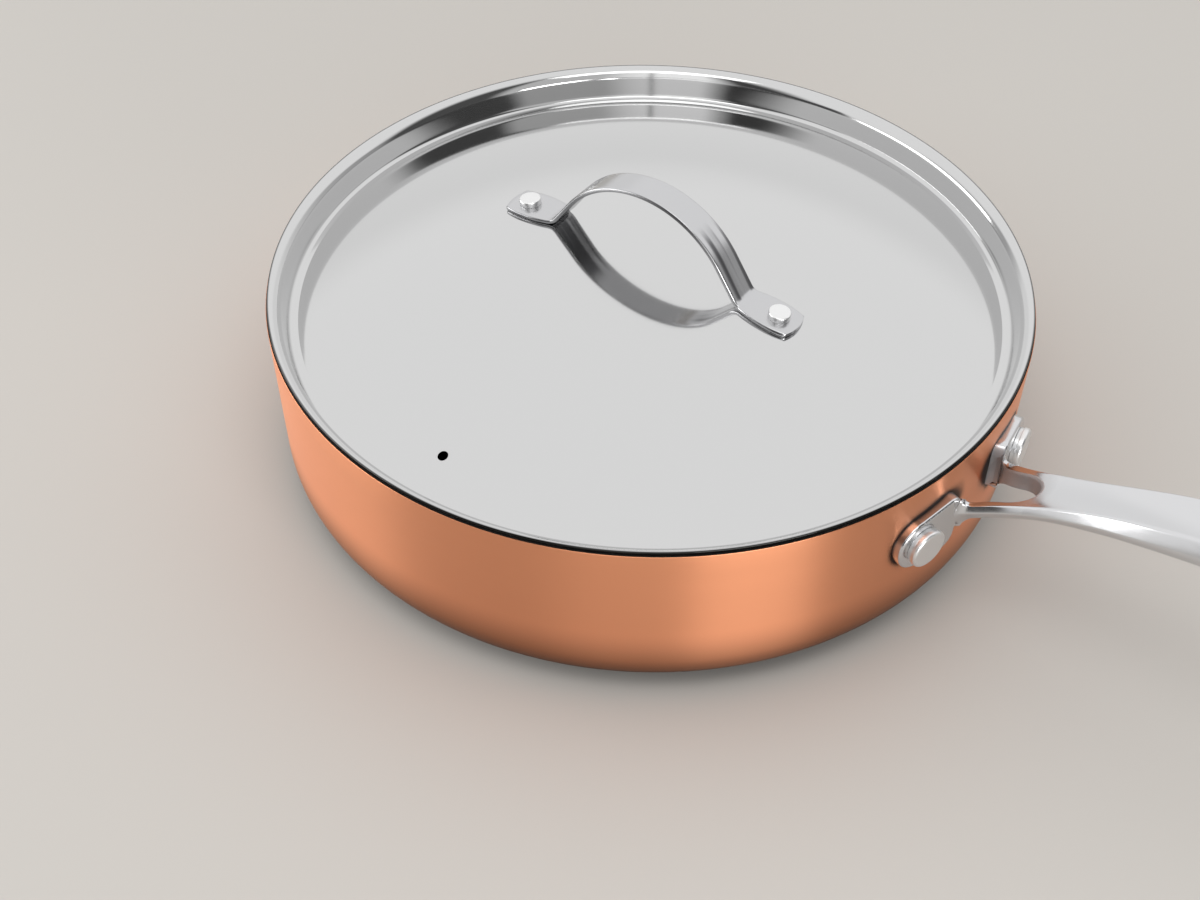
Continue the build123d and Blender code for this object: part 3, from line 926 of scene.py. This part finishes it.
def lid_face(line):
    """Grids of one face of the lid, and a nearly square block round the vent that is drawn in to
    the vent's circle."""
    block_low, block_high = vent_distance - block_reach, vent_distance + block_reach
    outside = line[line[:, 0] > block_high + 0.3]
    inside = line[line[:, 0] < block_low - 0.3]
    middle_rows = np.linspace(block_high, block_low, block_rows + 1)
    band = np.stack((middle_rows, face_height(line, middle_rows)), axis=-1)
    grid = turned(np.concatenate((outside, band, inside)), lid_steps)
    grid = swung(grid, vent_angle - block_columns * math.pi / lid_steps)
    first, last = len(outside), len(outside) + block_rows
    parts = [grid[:first + 1], grid[last:], grid[first:last + 1, block_columns:]]
    block = grid[first:last + 1, :block_columns + 1, :2]
    around = np.concatenate((block[0, :-1], block[:-1, -1], block[-1, ::-1][:-1], block[::-1, 0]))
    centre = vent_distance * np.array((math.cos(vent_angle), math.sin(vent_angle)))
    spoke = around - centre
    circle = centre + spoke / np.linalg.norm(spoke, axis=1, keepdims=True) * vent_radius
    plan = around + (circle - around) * np.linspace(0.0, 1.0, 9)[:, None, None]
    height = face_height(line, np.hypot(plan[..., 0], plan[..., 1]))
    return parts, np.concatenate((plan, height[..., None]), axis=-1)


upper = lid_line()
heading = np.gradient(upper, axis=0)
heading[-1] = (-1.0, 0.0)
down_normal = np.stack((-heading[:, 1], heading[:, 0]), axis=-1)
down_normal /= np.linalg.norm(down_normal, axis=1, keepdims=True)
lower = upper + down_normal * lid_thickness
lower[-1, 0] = 0.0
upper_parts, upper_patch = lid_face(upper)
lower_parts, lower_patch = lid_face(lower)
lip_share = np.linspace(0.0, 1.0, 5)[:, None, None]
lip = upper_parts[0][0] * (1 - lip_share) + lower_parts[0][0] * lip_share
lip_out = lip[..., :2] / np.linalg.norm(lip[..., :2], axis=-1, keepdims=True)
lip[..., :2] += lip_out * lip_bulge * np.sin(math.pi * lip_share)
vent_wall = np.stack((upper_patch[-1], lower_patch[-1]))


def add_edge_painted_shade(material, shader, whole, stops):
    """Grey tone by the distance from the vertical axis, as a share of a whole. It paints shade on
    the sheet's cut edge, nearly black, for the dark gap between the lid's edge and the rim."""
    tree = material.node_tree
    place = tree.nodes.new("ShaderNodeTexCoord").outputs["Object"]
    share = math_node(tree, "DIVIDE", reach_node(tree, place), whole)
    feed(tree, shader, {"Base Color": toned(tree, share, stops)})


lid_metal, lid_shader = new_material("mirror_sheet", (0.59, 0.59, 0.60), 0.08)
add_finish(lid_metal, lid_shader, spun_grain, 1500.0, 0.03, 0.0000008)
# Painted shade: the sheet's outer edge and lip go nearly black, for the gap over the rim.
add_edge_painted_shade(lid_metal, lid_shader, lid_radius * MM, (
    (0.0, 0.59), (0.9975, 0.59), (0.9992, 0.03), (1.0, 0.03),
))
lid_grids = [*upper_parts, upper_patch, *lower_parts, lower_patch, lip, vent_wall]
lid_piece = weld_grids("lid_sheet", lid_grids, lid_metal)
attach(lid_piece, "lid")
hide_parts("lid_plate")


# Lid handle: one steel strap, blanked with two wider feet and bent into an arch on two leaning
# legs. Its long edges are broken by polishing, and the free ends are bowed.
strap_thickness = 1.8
strap_edge = 0.65
strap_rise = 39.2
strap_top = lid_plane + strap_rise
arch_radius = 39.3
ankle_radius = 5.0
leg_lean = math.radians(34.4)
rivet_distance = 55.3
strap_half_width = 6.0
waist_distance = 41.3
foot_half_width = 7.6
end_half_width = 6.8
end_past_rivet = 6.5
end_bow = 1.6
end_start = 52.0
strap_gap = 0.03


def strap_path():
    """Middle line of the strap in its own upright plane: foot, leg, arch, leg and foot."""
    foot_slope = math.asin(rivet_distance / dome_radius)
    lift = strap_thickness / 2 + strap_gap
    foot = np.array((
        rivet_distance + lift * math.sin(foot_slope),
        float(dome_height(rivet_distance)) + lift * math.cos(foot_slope),
    ))
    peak = strap_top - strap_thickness / 2 - arch_radius + arch_radius / math.sin(leg_lean)
    foot_fall, leg_fall = math.tan(foot_slope), 1 / math.tan(leg_lean)
    ankle_x = (peak - foot[1] - foot_fall * foot[0]) / (leg_fall - foot_fall)
    ankle = np.array((ankle_x, peak - leg_fall * ankle_x))
    toe_x = rivet_distance + end_past_rivet + end_bow
    toe = np.array((toe_x, foot[1] - foot_fall * (toe_x - foot[0])))
    other = np.array((-1.0, 1.0))
    corners = (toe * other, ankle * other, (0.0, peak), ankle, toe)
    return divided(rounded_line(corners, (ankle_radius, arch_radius, ankle_radius), step=0.7), 0.9)


def strap_half(x):
    """Half the strap's width at x: constant to the waist, then the bow of a circle through three
    points, which are the waist, the widest place at the rivet and the end."""
    out = np.abs(x)
    a = np.array((waist_distance, strap_half_width))
    b = np.array((rivet_distance, foot_half_width))
    c = np.array((rivet_distance + end_past_rivet, end_half_width))
    d = 2 * (a[0] * (b[1] - c[1]) + b[0] * (c[1] - a[1]) + c[0] * (a[1] - b[1]))
    aa, bb, cc = a @ a, b @ b, c @ c
    mx = (aa * (b[1] - c[1]) + bb * (c[1] - a[1]) + cc * (a[1] - b[1])) / d
    my = (aa * (c[0] - b[0]) + bb * (a[0] - c[0]) + cc * (b[0] - a[0])) / d
    radius = math.hypot(a[0] - mx, a[1] - my)
    bow = my + np.sqrt(np.clip(radius ** 2 - (out - mx) ** 2, 0.0, None))
    return np.where(out < waist_distance, strap_half_width, bow)


def strap_grid():
    """Rounded rectangle carried along the path. Beyond the rivets each point is drawn along the
    foot to the bowed end, and the last rows shrink to a line to close it.

    Half of the section runs over the flat top, round the upper and the lower edge of one side, and
    the other half is the same turned by half a turn. A point lies at the share across times the
    flat half width plus the edge times sin a, and at the side's flat height plus the edge times
    cos a.
    """
    path = strap_path()
    tangent = np.gradient(path, axis=0)
    tangent /= np.linalg.norm(tangent, axis=1, keepdims=True)
    normal = np.stack((-tangent[:, 1], tangent[:, 0]), axis=-1)
    flats = np.linspace(-1.0, 1.0, 15)
    quarter = np.linspace(0.0, math.pi / 2, 5)
    turn = np.concatenate((0 * flats, quarter[1:], quarter + math.pi / 2))
    across = np.concatenate((flats, np.ones(9)))
    level = np.concatenate((np.ones(19), -np.ones(5))) * (strap_thickness / 2 - strap_edge)
    across = np.concatenate((across, -across[1:]))
    side = np.concatenate((strap_edge * np.sin(turn), -strap_edge * np.sin(turn)[1:]))
    lifted = level + strap_edge * np.cos(turn)
    lifted = np.concatenate((lifted, -lifted[1:]))

    y = across * (strap_half(path[:, 0]) - strap_edge)[:, None] + side
    reach = np.abs(path[:, 0])
    end_reach = rivet_distance + end_past_rivet + end_bow * (1 - (y / end_half_width) ** 2)
    share = np.clip((reach - end_start) / (reach.max() - end_start), 0.0, 1.0)[:, None]
    pull = (end_reach - reach.max()) * share ** 2 * np.sign(path[:, :1])
    plane = path[:, None] + pull[..., None] * tangent[:, None]
    surface = plane + lifted[:, None] * normal[:, None]
    rows = np.concatenate((
        plane[:1], plane[:1] + (surface - plane)[:1] * 0.75, surface[1:-1],
        plane[-1:] + (surface - plane)[-1:] * 0.75, plane[-1:],
    ))
    y = np.concatenate((y[:1], y, y[-1:]))
    grid = np.stack((rows[..., 0], y, rows[..., 1]), axis=-1)
    return swung(np.concatenate((grid, grid[:, :1]), axis=1), lid_turn)


def add_leg_painted_reflections(material, shader, light, dark):
    """Painted reflection: dark streaks along the steep parts of the strap, for the dark bands that
    a polished leg mirrors.

    The mask is a noise that is long along the strap, through a smooth step, times how little the
    face looks up or down.
    """
    tree = material.node_tree
    place = tree.nodes.new("ShaderNodeTexCoord").outputs["Object"]
    normal = tree.nodes.new("ShaderNodeNewGeometry").outputs["Normal"]
    stretched = vector_node(tree, "MULTIPLY", place, (9.0, 330.0, 9.0))
    reflection_streaks = ranged(tree, noise_node(tree, stretched, 1.0, 1.0), 0.62, 0.42)
    level = math_node(tree, "ABSOLUTE", split_node(tree, normal)["Z"])
    mask = math_node(tree, "MULTIPLY", reflection_streaks, ranged(tree, level, 0.86, 0.72))
    feed(tree, shader, {"Base Color": mixed(tree, mask, (*light, 1.0), (*dark, 1.0))})


strap_colour = (0.54, 0.54, 0.55)
strap_metal, strap_shader = new_material("polished_strap", strap_colour, 0.2)
# Painted reflection: dark streaks on the strap's steep legs.
add_leg_painted_reflections(strap_metal, strap_shader, strap_colour, (0.13, 0.13, 0.135))
add_finish(strap_metal, strap_shader, brushed_lines, (150.0, 2500.0, 150.0), 0.12, 0.000003)
strap_piece = weld_grids("lid_strap", [strap_grid()], strap_metal, sharp=60.0)
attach(strap_piece, "lid")
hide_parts("lid_handle")


# Lid rivets: one through each foot of the strap and the sheet, with a thick flat head on top and
# a formed head under the lid.
lid_head_radius = 4.1
lid_head_height = 2.3
lid_shank_radius = 2.4
lid_tail_radius = 4.0
lid_tail_height = 1.4
head_gap = 0.06
tail_gap = 0.05
strap_face = strap_thickness + head_gap
sheet_face = -lid_thickness - tail_gap
lid_rivet_line = rounded_line(
    (
        (0.0, strap_face + lid_head_height), (lid_head_radius, strap_face + lid_head_height),
        (lid_head_radius, strap_face), (lid_shank_radius, strap_face),
        (lid_shank_radius, sheet_face), (lid_tail_radius, sheet_face),
        (lid_tail_radius, sheet_face - lid_tail_height), (0.0, sheet_face - lid_tail_height),
    ),
    (0.5, 0.1, 0.05, 0.05, 0.1, 0.5),
    step=0.08,
)
vertical = np.array((0.0, 0.0, 1.0))
rivet_lean = math.asin(rivet_distance / dome_radius)
for side, word in ((-1, "left"), (1, "right")):
    strap_way = side * np.array((math.cos(lid_turn), math.sin(lid_turn), 0.0))
    spot = strap_way * rivet_distance + vertical * dome_height(rivet_distance)
    outward = strap_way * math.sin(rivet_lean) + vertical * math.cos(rivet_lean)
    away = np.cross(vertical, strap_way)
    upward = np.cross(outward, away)
    head = turned_about(divided(lid_rivet_line, 1.0), spot, away, upward, outward)
    rivet = weld_grids("lid_rivet_head_" + word, [head], rivet_metal)
    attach(rivet, "lid")
    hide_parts("lid_rivet_" + word)
